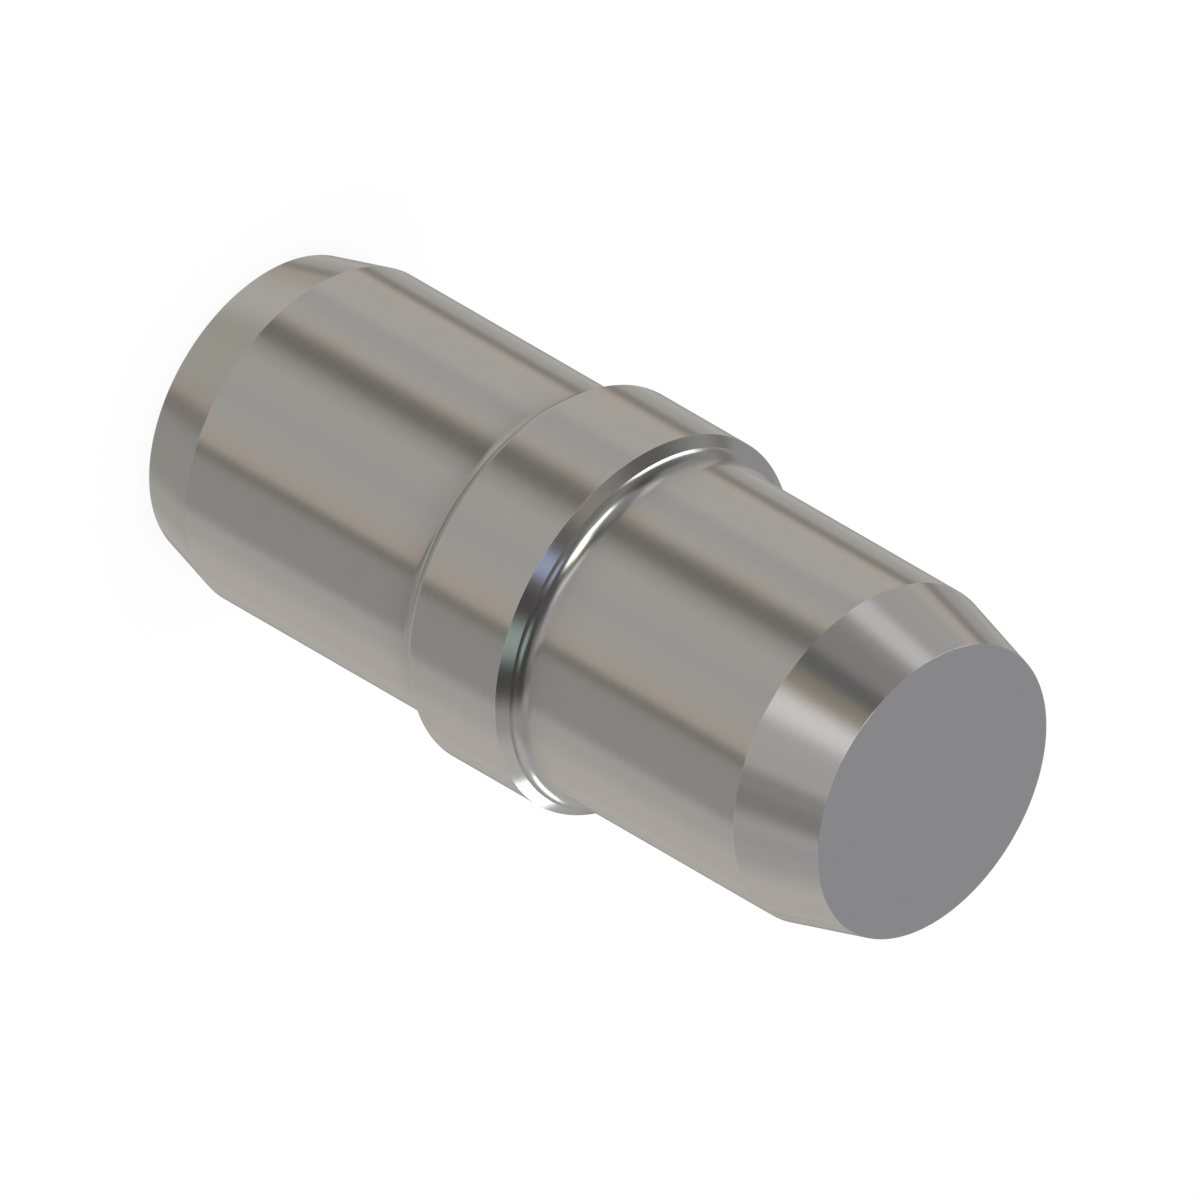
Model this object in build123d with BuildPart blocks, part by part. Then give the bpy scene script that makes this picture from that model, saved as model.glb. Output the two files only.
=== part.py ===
from build123d import *
import os
from math import acos, degrees, radians, sin, tan

# Stepped dowel pin, turned from one bar: two shanks of one diameter with a raised collar between them.
# Millimetres. The pin stands on its lower end: its axis is Z and that end lies on Z = 0.

# Shanks, each measured from its end face to the collar
shank_diameter = 12.64
lower_shank_length = 13.494
upper_shank_length = 13.494

# Lead-in cones at the ends, measured along the axis, and their slope from the axis
lower_lead_length = 2.381
upper_lead_length = 3.175
lead_angle = 15

# Collar, which stands this far out from the shanks
collar_step = 0.74
collar_width = 4.762
collar_chamfer = 0.34

# Hollow fillet that runs from each shank up to the collar's chamfer
shoulder_radius = 0.8

# Shortest edge that the section is drawn with
shortest_edge = 1e-6

# Radii
shank_radius = shank_diameter / 2
lower_end_radius = shank_radius - lower_lead_length * tan(radians(lead_angle))
upper_end_radius = shank_radius - upper_lead_length * tan(radians(lead_angle))
collar_radius = shank_radius + collar_step
collar_face_radius = collar_radius - collar_chamfer

# Heights
collar_bottom = lower_shank_length
collar_top = collar_bottom + collar_width
overall_length = collar_top + upper_shank_length

# The fillet starts in line with the shank. It ends at the chamfer, or a quarter turn on where the
# shoulder is higher than its radius, and what is left of the shoulder is then a flat ring.
shoulder_height = collar_face_radius - shank_radius
fillet_rise = min(shoulder_radius, shoulder_height)
fillet_turn = acos(1 - fillet_rise / shoulder_radius)
fillet_run = shoulder_radius * sin(fillet_turn)
shoulder_is_flat = shoulder_height - fillet_rise > shortest_edge

# Half section of the pin, turned about its axis
with BuildPart() as stepped_dowel_pin:
    with BuildSketch(Plane.XZ):
        with BuildLine():
            lower_shank = Polyline(
                (0, 0),
                (lower_end_radius, 0),
                (shank_radius, lower_lead_length),
                (shank_radius, collar_bottom - fillet_run),
            )
            lower_fillet = JernArc(
                start=lower_shank @ 1,
                tangent=(0, 1),
                radius=shoulder_radius,
                arc_size=-degrees(fillet_turn),
            )
            upper_shank = Polyline(
                (0, overall_length),
                (upper_end_radius, overall_length),
                (shank_radius, overall_length - upper_lead_length),
                (shank_radius, collar_top + fillet_run),
            )
            upper_fillet = JernArc(
                start=upper_shank @ 1,
                tangent=(0, -1),
                radius=shoulder_radius,
                arc_size=degrees(fillet_turn),
            )
            collar = Polyline(
                (collar_face_radius, collar_bottom),
                (collar_radius, collar_bottom + collar_chamfer),
                (collar_radius, collar_top - collar_chamfer),
                (collar_face_radius, collar_top),
            )
            if shoulder_is_flat:
                Line(lower_fillet @ 1, collar @ 0)
                Line(upper_fillet @ 1, collar @ 1)
            Line(upper_shank @ 0, lower_shank @ 0)
        make_face()
    revolve(axis=Axis.Z)

stepped_dowel_pin.part.label = "stepped_dowel_pin"

os.makedirs("parts", exist_ok=True)
export_step(stepped_dowel_pin.part, "parts/stepped_dowel_pin.step")
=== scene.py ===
import math
import bpy
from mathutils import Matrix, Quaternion, Vector


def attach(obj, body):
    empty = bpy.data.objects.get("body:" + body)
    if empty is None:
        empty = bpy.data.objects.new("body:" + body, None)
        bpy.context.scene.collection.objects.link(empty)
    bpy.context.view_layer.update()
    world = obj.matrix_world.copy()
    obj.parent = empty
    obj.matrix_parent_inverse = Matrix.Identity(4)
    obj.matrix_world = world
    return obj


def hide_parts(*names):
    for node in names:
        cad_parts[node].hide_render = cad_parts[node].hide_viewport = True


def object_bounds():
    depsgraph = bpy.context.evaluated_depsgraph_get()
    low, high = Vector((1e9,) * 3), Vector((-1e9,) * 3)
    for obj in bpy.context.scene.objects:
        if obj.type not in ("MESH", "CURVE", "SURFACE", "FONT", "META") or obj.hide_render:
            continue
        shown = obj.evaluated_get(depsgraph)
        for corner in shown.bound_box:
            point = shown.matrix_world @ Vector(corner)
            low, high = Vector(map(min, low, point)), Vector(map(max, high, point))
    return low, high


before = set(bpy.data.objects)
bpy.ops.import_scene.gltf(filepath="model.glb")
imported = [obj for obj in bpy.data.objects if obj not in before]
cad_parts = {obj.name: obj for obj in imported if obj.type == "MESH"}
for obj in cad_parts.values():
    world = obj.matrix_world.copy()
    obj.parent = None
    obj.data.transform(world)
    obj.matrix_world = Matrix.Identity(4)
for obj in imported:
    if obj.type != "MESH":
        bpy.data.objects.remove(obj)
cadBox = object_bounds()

mm = 0.001
print("frame loaded, the pin's CAD box in mm:", [[round(v / mm, 3) for v in corner] for corner in cadBox])


# Helpers for node trees

def addNode(tree, kind, inputs=None, **settings):
    node = tree.nodes.new(kind)
    for name, value in settings.items():
        setattr(node, name, value)
    for socket, value in (inputs or {}).items():
        if isinstance(value, bpy.types.NodeSocket):
            tree.links.new(value, node.inputs[socket])
        else:
            node.inputs[socket].default_value = value
    return node


def doMath(tree, operation, *values):
    kind = "ShaderNodeMath"
    return addNode(tree, kind, dict(enumerate(values)), operation=operation).outputs[0]


def doVectorMath(tree, operation, *values):
    kind = "ShaderNodeVectorMath"
    node = addNode(tree, kind, dict(enumerate(values)), operation=operation)
    return node.outputs["Value" if operation == "LENGTH" else "Vector"]


def scaleVector(tree, vector, scale):
    inputs = {0: vector, "Scale": scale}
    return addNode(tree, "ShaderNodeVectorMath", inputs, operation="SCALE").outputs[0]


def combine(tree, x=0.0, y=0.0, z=0.0):
    return addNode(tree, "ShaderNodeCombineXYZ", {"X": x, "Y": y, "Z": z}).outputs[0]


def mixColours(tree, factor, first, second):
    return addNode(tree, "ShaderNodeMix", {0: factor, 6: first, 7: second}, data_type="RGBA").outputs[2]


def fadeOut(tree, values):
    return addNode(tree, "ShaderNodeMapRange", values, interpolation_type="SMOOTHSTEP").outputs[0]


def newGroup(name, kind, inputs, outputs):
    tree = bpy.data.node_groups.new(name, kind)
    for label, socketType in inputs.items():
        tree.interface.new_socket(label, in_out="INPUT", socket_type=socketType)
    for label, socketType in outputs.items():
        tree.interface.new_socket(label, in_out="OUTPUT", socket_type=socketType)
    given = tree.nodes.new("NodeGroupInput").outputs
    result = tree.nodes.new("NodeGroupOutput").inputs
    return tree, given, result


# Camera: looks down on the pin from the front, rolled so that its upper end points to the lower right

cameraSetup = {
    "azimuth": 0,
    "elevation": 35.264,
    "roll": 120,
    "frameWidth": 40.558 * mm,
    "aim": (cadBox[0] + cadBox[1]) / 2,
    "distance": 300 * mm,
    "nearest": 1 * mm,
    "farthest": 2000 * mm,
}


def makeCamera(setup):
    azimuth = math.radians(setup["azimuth"])
    elevation = math.radians(setup["elevation"])
    level = math.cos(elevation)
    back = Vector((math.sin(azimuth) * level, -math.cos(azimuth) * level, math.sin(elevation)))
    data = bpy.data.cameras.new("camera")
    data.type = "ORTHO"
    data.ortho_scale = setup["frameWidth"]
    data.clip_start = setup["nearest"]
    data.clip_end = setup["farthest"]
    camera = bpy.data.objects.new("camera", data)
    camera.location = setup["aim"] + back * setup["distance"]
    camera.rotation_mode = "QUATERNION"
    upright = (-back).to_track_quat("-Z", "Y")
    camera.rotation_quaternion = upright @ Quaternion((0, 0, 1), math.radians(setup["roll"]))
    bpy.context.scene.collection.objects.link(camera)
    bpy.context.scene.camera = camera


# Floor: glows to the camera like white paper and keeps a trace of the pin's shadow. The metal's
# reflections leave it out, and show the studio all round.

floorSetup = {
    "colour": (1, 1, 1, 1),
    "width": 600 * mm,
    "drop": 0.01 * mm,        # below the pin's lower end
    "glow": 0.93,             # what the camera sees of it without any light
    "shade": 0.09,            # the part that the lamp lights and the pin shades
    "lampHeight": 500 * mm,
    "lampWidth": 400 * mm,
    "lampPower": 3.0,         # watts, at which a colour on the floor renders about as it is written
}


def makePaper(setup):
    material = bpy.data.materials.new("palePaper")
    material.use_nodes = True
    tree = material.node_tree
    tree.nodes.clear()
    shaded = tuple(setup["shade"] * v for v in setup["colour"][:3]) + (1,)
    paper = addNode(tree, "ShaderNodeBsdfDiffuse", {"Color": shaded}).outputs[0]
    camera = addNode(tree, "ShaderNodeLightPath").outputs["Is Camera Ray"]
    glow = {"Color": setup["colour"], "Strength": doMath(tree, "MULTIPLY", camera, setup["glow"])}
    light = addNode(tree, "ShaderNodeEmission", glow).outputs[0]
    both = addNode(tree, "ShaderNodeAddShader", {0: paper, 1: light}).outputs[0]
    under = addNode(tree, "ShaderNodeNewGeometry").outputs["Backfacing"]
    clear = addNode(tree, "ShaderNodeBsdfTransparent").outputs[0]
    seen = addNode(tree, "ShaderNodeMixShader", {0: under, 1: both, 2: clear}).outputs[0]
    addNode(tree, "ShaderNodeOutputMaterial", {"Surface": seen})
    return material


def makeFloor(setup):
    half = setup["width"] / 2
    corners = [(-half, -half), (half, -half), (half, half), (-half, half)]
    mesh = bpy.data.meshes.new("floor")
    mesh.from_pydata([(x, y, -setup["drop"]) for x, y in corners], [], [(0, 1, 2, 3)])
    mesh.materials.append(makePaper(setup))
    floor = bpy.data.objects.new("floor", mesh)
    floor.visible_glossy = False
    floor.visible_shadow = False
    bpy.context.scene.collection.objects.link(floor)

    lamp = bpy.data.lights.new("softLamp", "AREA")
    lamp.size = setup["lampWidth"]
    lamp.energy = setup["lampPower"]
    hung = bpy.data.objects.new("softLamp", lamp)
    hung.location = (0, 0, setup["lampHeight"])
    hung.visible_glossy = False
    bpy.context.scene.collection.objects.link(hung)


# Studio: a white backdrop with soft cards and lamps round it, placed by azimuth and elevation in degrees.
# Azimuth 0 is the camera's side, and it grows towards the pin's +X. Later cards lie over earlier ones.
# The cards' values were typed in one by one, to follow the reflections measured along the photographed
# pin.

studio = {
    "backdrop": (1, 1, 1, 1),
    # azimuth, elevation, half width, half height, lean, softness, level, tint
    "cards": {
        "upperAir": (0, 42, 400, 56, 0, 0.30, 1.00, (0.98, 1, 1.07)),
        "frontFloor": (8, -36, 34, 20, 0, 0.50, 0.95, (1, 1, 0.99)),
        "behind": (179, -36, 18, 24, 0, 0.40, 0.52, (1, 1, 0.97)),
        "underBack": (180, -74, 52, 15, 0, 0.40, 0.48, (1, 1, 0.97)),
        "ceiling": (-40, 88, 179, 48, 0, 0.30, 0.42, (1, 1, 0.97)),
        "ceilingOlive": (-55, 45, 18, 6, 17, 0.60, 0.60, (1.08, 1, 0.80)),
        "leftWall": (-105, 22, 50, 30, 0, 0.50, 0.62, (0.98, 1, 1.06)),
        "leftWallDark": (-86, 29, 23, 12, 5, 0.60, 0.28, (1, 0.99, 0.96)),
        "leftWallCore": (-75, 20, 8, 10, 0, 0.60, 0.19, (1, 0.99, 0.96)),
        "leftWallTop": (-92, 44, 10, 8, 15, 0.60, 0.26, (1, 1, 1.02)),
        "backLeft": (-158, 5, 27, 27, 0, 0.40, 0.77, (0.98, 1, 1.07)),
        "backTop": (185, 45, 50, 30, 0, 0.50, 0.745, (0.98, 1, 1.10)),
        "leftFloor": (-106, -50, 28, 24, 0, 0.50, 1.10, (1, 0.99, 0.97)),
        "centreFloor": (-5, -72, 70, 14, 0, 0.40, 0.89, (1.01, 1, 0.93)),
        "leftFloorLow": (-88, -60, 22, 7, 0, 0.60, 1.13, (1, 0.99, 0.96)),
        "leftPanel": (-78, -35, 8, 8, 0, 0.50, 0.93, (1, 1, 1.02)),
        "leftFringe": (-58, -36, 6, 14, 0, 0.60, 1.01, (1.04, 1, 0.92)),
        "frontStripe": (-30, -35, 5, 12, 0, 0.70, 0.86, (1, 1, 0.99)),
        "frontPanel": (2, -35, 6, 10, 0, 0.60, 0.91, (1, 1, 1.01)),
        "leftStand": (-130, 4, 4, 32, 0, 0.70, 0.47, (1, 0.98, 0.96)),
        "leftStandLow": (-130, -44, 5, 20, 0, 0.60, 0.56, (1.03, 0.99, 0.92)),
        "leftTape": (-119, -34, 5, 18, 0, 0.60, 1.15, (1.07, 0.98, 0.92)),
        "leftTapeLow": (-117, -54, 8, 9, 0, 0.60, 0.99, (1.08, 0.97, 0.90)),
        "leftSheet": (-74, -12, 8, 10, 30, 0.50, 1.42, (0.98, 1, 1.06)),
        "wedge": (-48, 1, 16, 17, 0, 0.50, 0.61, (0.99, 1, 1.03)),
        "wedgeEdge": (-30, -3, 8, 12, 8, 0.50, 0.29, (0.97, 1, 1.09)),
        "wedgeMiddle": (-40, -19, 14, 8, 0, 0.60, 0.34, (1.02, 1, 0.97)),
        "wedgeLow": (-44, -38, 9, 16, 0, 0.75, 0.40, (1.03, 1, 0.92)),
        "footShade": (-13, 2, 11, 11, 0, 0.40, 0.49, (1.09, 1, 0.76)),
        "frontGlow": (-2, -7, 6, 19, -50, 0.60, 1.75, (1, 1, 1.04)),
        "frontShade": (32, 16, 27, 12, 0, 0.60, 0.52, (0.98, 1, 1.04)),
        "rightTape": (31, -38, 7, 26, -12, 0.60, 0.95, (1.08, 0.98, 0.90)),
        "rightTapeLow": (22, -66, 9, 8, 0, 0.60, 0.86, (1.09, 0.96, 0.88)),
        "rightCard": (65, -42, 21, 28, 0, 0.15, 0.70, (1, 1, 0.99)),
        "rightCardFoot": (86, -62, 26, 11, 0, 0.30, 0.76, (1, 1, 0.99)),
        "rightShade": (60, 3, 10, 17, -12, 0.70, 0.42, (1, 1, 0.99)),
        "rightStand": (43, -34, 4, 30, -3, 0.60, 0.44, (1.03, 1, 0.95)),
        "rightStandLow": (40, -66, 9, 11, 0, 0.60, 0.48, (1.03, 1, 0.94)),
        "rightSlope": (92, 16, 14, 28, 0, 0.60, 0.76, (0.98, 1, 1.05)),
        "rightGlow": (115, 23, 10, 10, 0, 0.60, 1.10, (1, 1, 1)),
        "rightWall": (53, 55, 37, 37, -20, 0.22, 0.14, (1, 1, 0.99)),
        "rightWallTop": (100, 57, 9, 19, -60, 0.50, 0.12, (1, 1, 1)),
        "rightCorner": (126, 42, 10, 10, 0, 0.60, 0.60, (1, 1, 1)),
        "overhead": (20, 80, 50, 8, 0, 0.50, 0.24, (1, 1, 1)),
        "midDark": (8, 33, 23, 19, 0, 0.40, 0.20, (1, 1, 1.03)),
        "rightSheet": (133, -28, 25, 16, 0, 0.50, 1.17, (1.02, 1, 0.98)),
        "rightSeam": (156, -31, 5, 10, 0, 0.60, 0.94, (1, 1, 0.97)),
        "lampGap": (-24, 56, 9, 8, 0, 0.60, 0.27, (1, 1, 1)),
        "blueLamp": (-2, 58, 9, 6, 0, 0.50, 1.33, (0.77, 0.87, 1.37)),
        "tealLamp": (54, 51, 14, 7, 10, 0.50, 0.93, (0.84, 1.05, 1.06)),
        "windowWide": (-29, 28, 22, 6, 2, 0.18, 4.60, (1, 1, 1)),
        "windowTall": (-23, 28, 14, 8, -4, 0.15, 4.60, (1, 1, 1)),
        "windowFoot": (-20, 21, 7, 10, 0, 0.20, 4.60, (1, 1, 0.99)),
        "leftLamp": (-113, 45, 7, 17, -50, 0.20, 4.60, (1, 1, 1.02)),
        "rightLamp": (137, 4, 5, 11, 60, 0.25, 5.00, (1, 1, 1.06)),
    },
}


def makeSoftCardGroup():
    inputs = {
        "Place": "NodeSocketVector",
        "Behind": "NodeSocketColor",
        "Centre": "NodeSocketVector",
        "Half Size": "NodeSocketVector",
        "Lean": "NodeSocketFloat",
        "Softness": "NodeSocketFloat",
        "Card": "NodeSocketColor",
    }
    tree, given, result = newGroup("softCard", "ShaderNodeTree", inputs, {"Light": "NodeSocketColor"})
    offset = doVectorMath(tree, "SUBTRACT", given["Place"], given["Centre"])
    halfTurn = Vector((180, 180, 180))     # degrees, where the azimuth starts again
    near = doVectorMath(tree, "WRAP", offset, halfTurn, -halfTurn)
    leaning = {"Vector": near, "Angle": doMath(tree, "MULTIPLY", given["Lean"], -1)}
    turned = addNode(tree, "ShaderNodeVectorRotate", leaning, rotation_type="Z_AXIS").outputs[0]
    share = doVectorMath(tree, "DIVIDE", turned, given["Half Size"])
    outwards = addNode(tree, "ShaderNodeSeparateXYZ", {0: doVectorMath(tree, "ABSOLUTE", share)}).outputs
    outer = doMath(tree, "ADD", 1.0, given["Softness"])
    inner = doMath(tree, "SUBTRACT", 1.0, given["Softness"])
    fades = [{"Value": outwards[axis], "From Min": outer, "From Max": inner} for axis in "XY"]
    cover = doMath(tree, "MULTIPLY", *[fadeOut(tree, fade) for fade in fades])
    tree.links.new(mixColours(tree, cover, given["Behind"], given["Card"]), result["Light"])
    return tree


def makeStudio(setup):
    world = bpy.data.worlds.new("studio")
    bpy.context.scene.world = world
    world.use_nodes = True
    tree = world.node_tree
    tree.nodes.clear()

    direction = addNode(tree, "ShaderNodeTexCoord").outputs["Generated"]
    along = addNode(tree, "ShaderNodeSeparateXYZ", {0: direction}).outputs
    azimuth = doMath(tree, "ARCTAN2", along["X"], doMath(tree, "MULTIPLY", along["Y"], -1))
    elevation = doMath(tree, "ARCSINE", along["Z"])
    place = combine(tree, doMath(tree, "DEGREES", azimuth), doMath(tree, "DEGREES", elevation))

    softCard = makeSoftCardGroup()
    light = setup["backdrop"]
    for name, (left, up, halfWidth, halfHeight, lean, softness, level, tint) in setup["cards"].items():
        values = {
            "Place": place,
            "Behind": light,
            "Centre": (left, up, 0),
            "Half Size": (halfWidth, halfHeight, 1),
            "Lean": math.radians(lean),
            "Softness": softness,
            "Card": tuple(level * v for v in tint) + (1,),
        }
        card = addNode(tree, "ShaderNodeGroup", values, node_tree=softCard, label=name)
        light = card.outputs["Light"]

    lit = addNode(tree, "ShaderNodeBackground", {"Color": light}).outputs[0]
    plain = addNode(tree, "ShaderNodeBackground", {"Color": setup["backdrop"]}).outputs[0]
    camera = addNode(tree, "ShaderNodeLightPath").outputs["Is Camera Ray"]
    seen = addNode(tree, "ShaderNodeMixShader", {0: camera, 1: lit, 2: plain}).outputs[0]
    addNode(tree, "ShaderNodeOutputWorld", {"Surface": seen})
    world.cycles_visibility.diffuse = False     # the floor has its own lamp, and steel only reflects
    world.cycles.sampling_method = "NONE"       # the steel's own rays find the cards, which are broad


# Pin: its section is drawn in the Geometry Nodes tree from the values below, which are the tree's
# inputs, and turned about its axis

pinSetup = {
    "Length": 31.75 * mm,
    "Shank Radius": 6.32 * mm,
    "Lower Lead": 2.381 * mm,
    "Upper Lead": 3.175 * mm,
    "Lead Angle": math.radians(15),
    "Collar Bottom": 13.494 * mm,
    "Collar Top": 18.256 * mm,
    "Collar Radius": 7.06 * mm,
    "Collar Chamfer": 0.34 * mm,
    "Shoulder Radius": 0.8 * mm,
    "Edge Break": 0.012 * mm,
    "Ring Spacing": 0.8 * mm,
    "Weld Distance": 0.001 * mm,
    "Sharpest Bend": math.radians(2),     # edges that turn by more than this stay crisp
    "Segments Round": 240,
    "Shoulder Steps": 37,
    "Edge Steps": 3,
}


def drawLine(tree, points):
    line = addNode(tree, "GeometryNodeMeshLine", {"Count": len(points)}).outputs[0]
    choice = addNode(tree, "GeometryNodeIndexSwitch", data_type="VECTOR")
    for _ in points[2:]:     # the node starts with two places
        choice.index_switch_items.new()
    tree.links.new(addNode(tree, "GeometryNodeInputIndex").outputs[0], choice.inputs["Index"])
    for number, point in enumerate(points):
        tree.links.new(combine(tree, *point), choice.inputs[str(number)])
    placed = addNode(tree, "GeometryNodeSetPosition", {"Geometry": line, "Position": choice.outputs[0]})
    return addNode(tree, "GeometryNodeMeshToCurve", {0: placed.outputs[0]}).outputs[0]


def addRings(tree, line, spacing):     # along the line's straight stretches
    position = addNode(tree, "GeometryNodeInputPosition").outputs[0]
    following = doMath(tree, "ADD", addNode(tree, "GeometryNodeInputIndex").outputs[0], 1.0)
    ahead = addNode(tree, "GeometryNodeFieldAtIndex", data_type="FLOAT_VECTOR", domain="POINT")
    tree.links.new(following, ahead.inputs["Index"])
    tree.links.new(position, ahead.inputs["Value"])
    stretch = doVectorMath(tree, "LENGTH", doVectorMath(tree, "SUBTRACT", ahead.outputs[0], position))
    cuts = doMath(tree, "FLOOR", doMath(tree, "DIVIDE", stretch, spacing))
    return addNode(tree, "GeometryNodeSubdivideCurve", {"Curve": line, "Cuts": cuts}).outputs[0]


def drawSection(tree, given):     # with X as the radius and Y as the height
    slope = doMath(tree, "TANGENT", given["Lead Angle"])
    shank = given["Shank Radius"]
    lowerEnd = doMath(tree, "SUBTRACT", shank, doMath(tree, "MULTIPLY", given["Lower Lead"], slope))
    upperEnd = doMath(tree, "SUBTRACT", shank, doMath(tree, "MULTIPLY", given["Upper Lead"], slope))
    collarFace = doMath(tree, "SUBTRACT", given["Collar Radius"], given["Collar Chamfer"])
    rise = doMath(tree, "SUBTRACT", collarFace, shank)
    shareLeft = doMath(tree, "SUBTRACT", 1.0, doMath(tree, "DIVIDE", rise, given["Shoulder Radius"]))
    turn = doMath(tree, "ARCCOSINE", shareLeft)
    run = doMath(tree, "MULTIPLY", given["Shoulder Radius"], doMath(tree, "SINE", turn))
    lowerTangent = doMath(tree, "SUBTRACT", given["Collar Bottom"], run)
    upperTangent = doMath(tree, "ADD", given["Collar Top"], run)

    lowerShank = drawLine(tree, [
        (0.0, 0.0),
        (lowerEnd, 0.0),
        (shank, given["Lower Lead"]),
        (shank, lowerTangent),
    ])
    collar = drawLine(tree, [
        (collarFace, given["Collar Bottom"]),
        (given["Collar Radius"], doMath(tree, "ADD", given["Collar Bottom"], given["Collar Chamfer"])),
        (given["Collar Radius"], doMath(tree, "SUBTRACT", given["Collar Top"], given["Collar Chamfer"])),
        (collarFace, given["Collar Top"]),
    ])
    upperShank = drawLine(tree, [
        (shank, upperTangent),
        (shank, doMath(tree, "SUBTRACT", given["Length"], given["Upper Lead"])),
        (upperEnd, given["Length"]),
        (0.0, given["Length"]),
    ])
    lines = addNode(tree, "GeometryNodeJoinGeometry")
    for line in (lowerShank, collar, upperShank):
        tree.links.new(line, lines.inputs[0])
    corners = {"Curve": lines.outputs[0], "Count": given["Edge Steps"], "Radius": given["Edge Break"]}
    broken = addNode(tree, "GeometryNodeFilletCurve", corners, mode="POLY").outputs[0]

    # Hollow shoulders, each in line with its shank
    section = addNode(tree, "GeometryNodeJoinGeometry")
    tree.links.new(addRings(tree, broken, given["Ring Spacing"]), section.inputs[0])
    arcCentre = doMath(tree, "ADD", shank, given["Shoulder Radius"])
    for height, sense in ((lowerTangent, -1.0), (upperTangent, 1.0)):
        arc = addNode(tree, "GeometryNodeCurveArc", {
            "Resolution": given["Shoulder Steps"],
            "Radius": given["Shoulder Radius"],
            "Start Angle": math.pi,
            "Sweep Angle": doMath(tree, "MULTIPLY", turn, sense),
        })
        place = {"Geometry": arc.outputs[0], "Translation": combine(tree, arcCentre, height)}
        moved = addNode(tree, "GeometryNodeTransform", place).outputs[0]
        tree.links.new(moved, section.inputs[0])
    return section.outputs[0]


def makePinTree():
    inputs = {
        name: "NodeSocketInt" if isinstance(value, int) else "NodeSocketFloat"
        for name, value in pinSetup.items()
    }
    inputs["Steel"] = "NodeSocketMaterial"
    tree, given, result = newGroup("turnedPin", "GeometryNodeTree", inputs, {"Pin": "NodeSocketGeometry"})

    # Turning: the section is laid upside down and rides round a circle as wide as the shank
    shank = given["Shank Radius"]
    laid = {
        "Geometry": drawSection(tree, given),
        "Translation": combine(tree, doMath(tree, "MULTIPLY", shank, -1)),
        "Rotation": (math.pi, 0, 0),
    }
    centred = addNode(tree, "GeometryNodeTransform", laid).outputs[0]
    ring = {"Resolution": given["Segments Round"], "Radius": shank}
    circle = addNode(tree, "GeometryNodeCurvePrimitiveCircle", ring).outputs[0]
    ride = {"Curve": circle, "Profile Curve": centred}
    turned = addNode(tree, "GeometryNodeCurveToMesh", ride).outputs[0]
    welds = {"Geometry": turned, "Distance": given["Weld Distance"]}
    closed = addNode(tree, "GeometryNodeMergeByDistance", welds).outputs[0]

    # Shading and finish
    smooth = addNode(tree, "GeometryNodeSetShadeSmooth", {"Geometry": closed}, domain="FACE").outputs[0]
    bend = addNode(tree, "GeometryNodeInputMeshEdgeAngle").outputs["Unsigned Angle"]
    crisp = doMath(tree, "GREATER_THAN", bend, given["Sharpest Bend"])
    edges = {"Geometry": smooth, "Selection": crisp, "Shade Smooth": False}
    shaded = addNode(tree, "GeometryNodeSetShadeSmooth", edges, domain="EDGE").outputs[0]
    real = addNode(tree, "GeometryNodeRealizeInstances", {"Geometry": shaded}).outputs[0]
    steel = {"Geometry": real, "Material": given["Steel"]}
    tree.links.new(addNode(tree, "GeometryNodeSetMaterial", steel).outputs[0], result["Pin"])
    return tree


def makePin(steel):
    pin = bpy.data.objects.new("steppedPin", bpy.data.meshes.new("steppedPin"))
    bpy.context.scene.collection.objects.link(pin)
    turning = pin.modifiers.new("turning", "NODES")
    turning.node_group = makePinTree()
    values = {**pinSetup, "Steel": steel}
    for item in turning.node_group.interface.items_tree:
        if item.in_out == "INPUT":
            turning[item.identifier] = values[item.name]
    dressed = pin.evaluated_get(bpy.context.evaluated_depsgraph_get())
    pin.data = bpy.data.meshes.new_from_object(dressed)
    pin.modifiers.remove(turning)
    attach(pin, "root")
    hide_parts("stepped_dowel_pin")
    pin.visible_glossy = False         # the photograph shows no clear reflection of the pin in itself
    print("pin:", len(pin.data.polygons), "faces")


# Steel: fine ground, with turning marks round the axis, faint smudges, painted shade beside the collar
# and a little polish on the rims

steelFinish = {
    "colour": (0.335, 0.325, 0.305, 1),     # darker than bare steel, for the photo's greys in this studio
    "grazingTint": (0.70, 0.69, 0.67, 1),
    "roughness": 0.16,
    "markPitch": 0.06 * mm,        # across the marks
    "markLength": 2.5 * mm,        # along them, at the shank
    "markDetail": 2.0,
    "markDepth": 0.0005 * mm,
    "markRoughness": 0.04,         # spread between the smoothest and the roughest mark
    "markShade": 0.07,
    "smudgeSize": 3.5 * mm,
    "smudgeDetail": 3.0,
    "smudgeRoughness": 0.03,
    "smudgeShade": 0.03,
    # painted shade beside the collar, darkest where the shanks meet the hollows
    "paintedShadeReach": 0.55 * mm,        # along the shanks, from where the hollows start
    "paintedShadeRise": 0.15 * mm,         # up the hollows
    "filmRoughness": 0.02,
    "filmShade": -0.12,
    "wearWidth": 0.07 * mm,
    "wearPatch": 1.5 * mm,         # size of the patches with more or less wear
    "wearContrast": (0.3, 0.7),    # levels of the patches' noise with the least and the most wear
    "leastWear": 0.3,
    "endWear": 1.0,
    "coneWear": 0.2,
    "collarWear": 0.6,
    "wearRoughness": -0.05,
    "wearShade": 0.18,
}


def findRims(sizes, finish):     # gives each rim's radius, height and how worn it is
    slope = math.tan(sizes["Lead Angle"])
    shank = sizes["Shank Radius"]
    collar = sizes["Collar Radius"]
    chamfer = sizes["Collar Chamfer"]
    top = sizes["Length"]
    return [
        (shank - sizes["Lower Lead"] * slope, 0.0, finish["endWear"]),
        (shank, sizes["Lower Lead"], finish["coneWear"]),
        (collar, sizes["Collar Bottom"] + chamfer, finish["collarWear"]),
        (collar, sizes["Collar Top"] - chamfer, finish["collarWear"]),
        (shank, top - sizes["Upper Lead"], finish["coneWear"]),
        (shank - sizes["Upper Lead"] * slope, top, finish["endWear"]),
    ]


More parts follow.
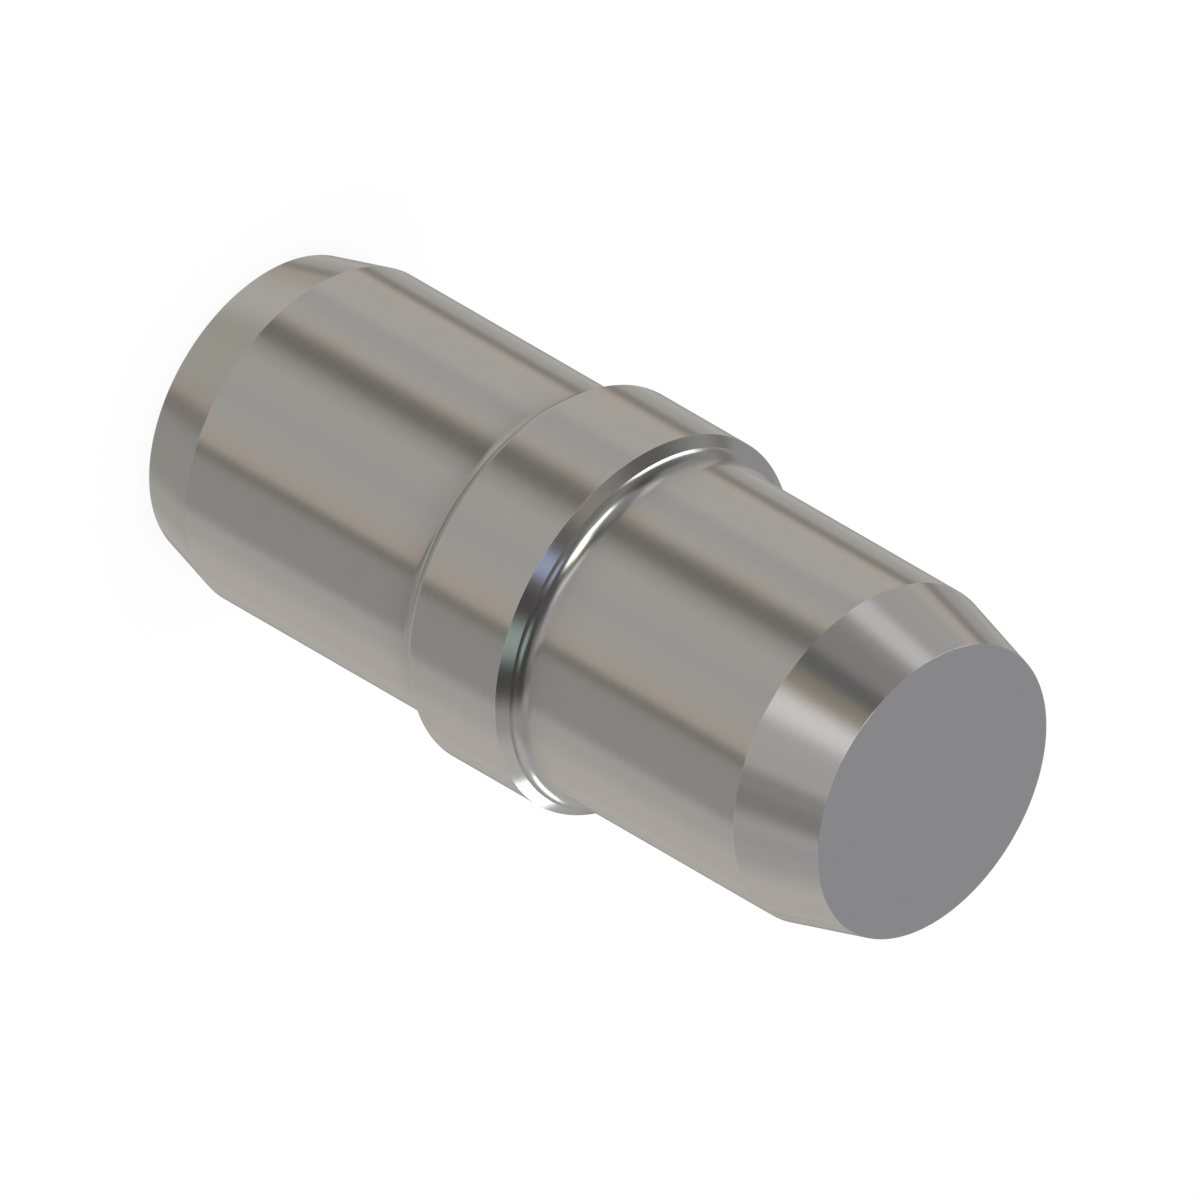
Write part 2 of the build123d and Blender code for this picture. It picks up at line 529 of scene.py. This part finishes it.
def splitPlace(tree, place):     # gives the distance from the axis, the height and the way out
    parts = addNode(tree, "ShaderNodeSeparateXYZ", {0: place}).outputs
    across = combine(tree, parts["X"], parts["Y"])
    return doVectorMath(tree, "LENGTH", across), parts["Z"], across


def makeTurningMarks():
    inputs = {
        "Place": "NodeSocketVector",
        "Pitch": "NodeSocketFloat",
        "Marks Round": "NodeSocketFloat",
        "Detail": "NodeSocketFloat",
    }
    tree, given, result = newGroup("turningMarks", "ShaderNodeTree", inputs, {"Mark": "NodeSocketFloat"})
    radius, height, across = splitPlace(tree, given["Place"])
    around = scaleVector(tree, doVectorMath(tree, "NORMALIZE", across), given["Marks Round"])
    step = combine(tree, z=doMath(tree, "DIVIDE", height, given["Pitch"]))
    grain = {
        "Vector": doVectorMath(tree, "ADD", around, step),
        "W": doMath(tree, "DIVIDE", radius, given["Pitch"]),
        "Scale": 1.0,
        "Detail": given["Detail"],
    }
    mark = addNode(tree, "ShaderNodeTexNoise", grain, noise_dimensions="4D").outputs[0]
    tree.links.new(mark, result["Mark"])
    return tree


def makeRimWear(rims, finish):
    inputs = {"Place": "NodeSocketVector", "Width": "NodeSocketFloat", "Unevenness": "NodeSocketFloat"}
    tree, given, result = newGroup("rimWear", "ShaderNodeTree", inputs, {"Wear": "NodeSocketFloat"})
    radius, height, _ = splitPlace(tree, given["Place"])
    section = combine(tree, radius, height)
    wear = 0.0
    for rimRadius, rimHeight, most in rims:
        gap = doVectorMath(tree, "SUBTRACT", section, (rimRadius, rimHeight, 0))
        distance = doVectorMath(tree, "LENGTH", gap)
        fade = {"Value": distance, "From Max": given["Width"], "To Min": most, "To Max": 0.0}
        wear = doMath(tree, "MAXIMUM", fadeOut(tree, fade), wear)
    patching = {"Vector": given["Place"], "Scale": given["Unevenness"]}
    patches = addNode(tree, "ShaderNodeTexNoise", patching).outputs[0]
    low, high = finish["wearContrast"]
    uneven = {"Value": patches, "From Min": low, "From Max": high, "To Min": finish["leastWear"]}
    share = addNode(tree, "ShaderNodeMapRange", uneven).outputs[0]
    tree.links.new(doMath(tree, "MULTIPLY", wear, share), result["Wear"])
    return tree


def makeHollowFilm(sizes):     # paints shade on the steel beside the collar, fading along the shanks and up the hollows
    inputs = {"Place": "NodeSocketVector", "Reach": "NodeSocketFloat", "Rise": "NodeSocketFloat"}
    tree, given, result = newGroup("paintedHollowShade", "ShaderNodeTree", inputs, {"Painted Shade": "NodeSocketFloat"})
    shoulder = sizes["Collar Radius"] - sizes["Collar Chamfer"] - sizes["Shank Radius"]
    turn = math.acos(1 - shoulder / sizes["Shoulder Radius"])
    middle = (sizes["Collar Bottom"] + sizes["Collar Top"]) / 2
    start = sizes["Collar Top"] + sizes["Shoulder Radius"] * math.sin(turn) - middle

    radius, height, _ = splitPlace(tree, given["Place"])
    away = doMath(tree, "ABSOLUTE", doMath(tree, "SUBTRACT", height, middle))
    beyond = doMath(tree, "MAXIMUM", doMath(tree, "SUBTRACT", away, start), 0.0)
    back = doMath(tree, "MULTIPLY", beyond, -1)
    falloff = doMath(tree, "EXPONENT", doMath(tree, "DIVIDE", back, given["Reach"]))
    up = doMath(tree, "SUBTRACT", radius, sizes["Shank Radius"])
    low = fadeOut(tree, {"Value": up, "From Max": given["Rise"], "To Min": 1.0, "To Max": 0.0})
    tree.links.new(doMath(tree, "MULTIPLY", falloff, low), result["Painted Shade"])
    return tree


def makeSteel(finish):
    material = bpy.data.materials.new("groundSteel")
    material.use_nodes = True
    tree = material.node_tree
    steel = tree.nodes["Principled BSDF"].inputs
    place = addNode(tree, "ShaderNodeTexCoord").outputs["Object"]

    marking = {
        "Place": place,
        "Pitch": finish["markPitch"],
        "Marks Round": pinSetup["Shank Radius"] / finish["markLength"],
        "Detail": finish["markDetail"],
    }
    wearing = {"Place": place, "Width": finish["wearWidth"], "Unevenness": 1 / finish["wearPatch"]}
    shadePainting = {"Place": place, "Reach": finish["paintedShadeReach"], "Rise": finish["paintedShadeRise"]}
    smudging = {"Vector": place, "Scale": 1 / finish["smudgeSize"], "Detail": finish["smudgeDetail"]}
    rimWear = makeRimWear(findRims(pinSetup, finish), finish)
    mark = addNode(tree, "ShaderNodeGroup", marking, node_tree=makeTurningMarks()).outputs["Mark"]
    wear = addNode(tree, "ShaderNodeGroup", wearing, node_tree=rimWear).outputs["Wear"]
    # painted shade: darker steel beside the collar, where the collar shades the shank
    film = addNode(tree, "ShaderNodeGroup", shadePainting, node_tree=makeHollowFilm(pinSetup)).outputs["Painted Shade"]
    smudge = addNode(tree, "ShaderNodeTexNoise", smudging).outputs[0]

    # Each effect works from its own middle level
    effects = {"mark": (mark, 0.5), "smudge": (smudge, 0.5), "film": (film, 0.0), "wear": (wear, 0.0)}
    roughness = finish["roughness"]
    shade = 1.0
    for kind, (effect, middle) in effects.items():
        spread = doMath(tree, "SUBTRACT", effect, middle)
        roughness = doMath(tree, "MULTIPLY_ADD", spread, finish[kind + "Roughness"], roughness)
        shade = doMath(tree, "MULTIPLY_ADD", spread, finish[kind + "Shade"], shade)
    bump = addNode(tree, "ShaderNodeBump", {"Height": mark, "Distance": finish["markDepth"]})
    tree.links.new(scaleVector(tree, finish["colour"][:3], shade), steel["Base Color"])
    tree.links.new(roughness, steel["Roughness"])
    tree.links.new(bump.outputs["Normal"], steel["Normal"])
    steel["Metallic"].default_value = 1
    steel["Specular Tint"].default_value = finish["grazingTint"]
    return material


makeCamera(cameraSetup)
makeFloor(floorSetup)
makeStudio(studio)
print("camera, floor and studio ready")
makePin(makeSteel(steelFinish))
bpy.context.scene.view_settings.view_transform = "Standard"
